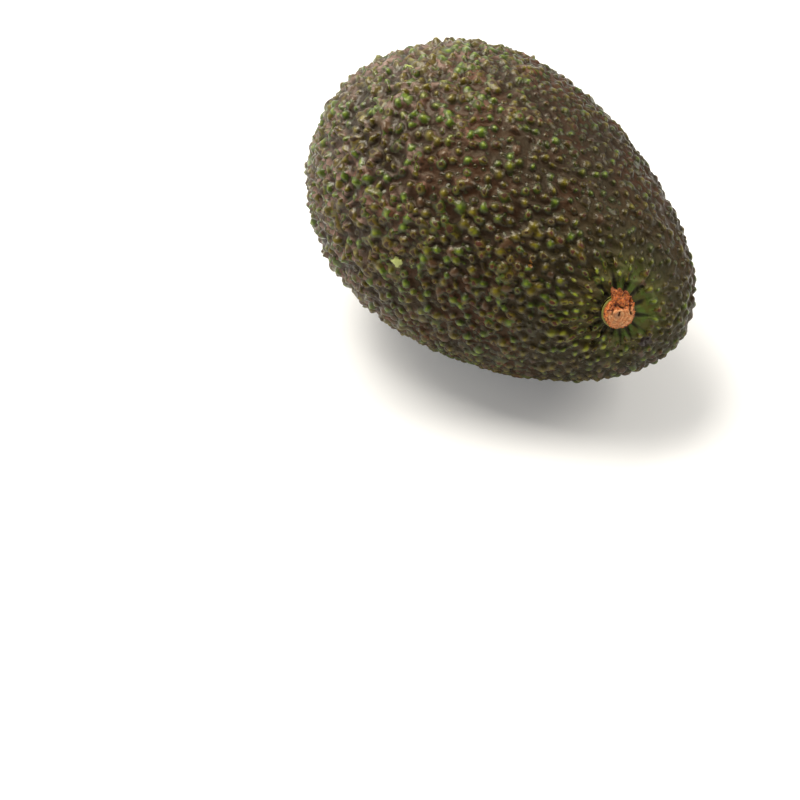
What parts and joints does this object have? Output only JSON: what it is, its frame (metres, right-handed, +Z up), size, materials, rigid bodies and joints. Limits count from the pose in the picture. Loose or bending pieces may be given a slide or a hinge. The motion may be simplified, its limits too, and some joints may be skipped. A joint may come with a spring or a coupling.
{
  "type": "avocado",
  "caption": "Whole ripe avocado, egg-shaped, with pebbled dark green and purple-brown skin and its dry stem button, lying on its side.",
  "frame": {"origin": "middle of the small flat spot that the fruit rests on", "axes": "+X along the fruit's long axis as seen from above, towards the stem end; +Z up"},
  "size_m": [0.1005, 0.0726, 0.0718],
  "materials": {
    "skin": "glossy green nodules on dull purple-brown skin",
    "stem_wood": "dry, cracked wood and bark"
  },
  "bodies": {
    "root": {"fruit": "skin", "stem_button": "stem_wood"}
  },
  "joints": []
}
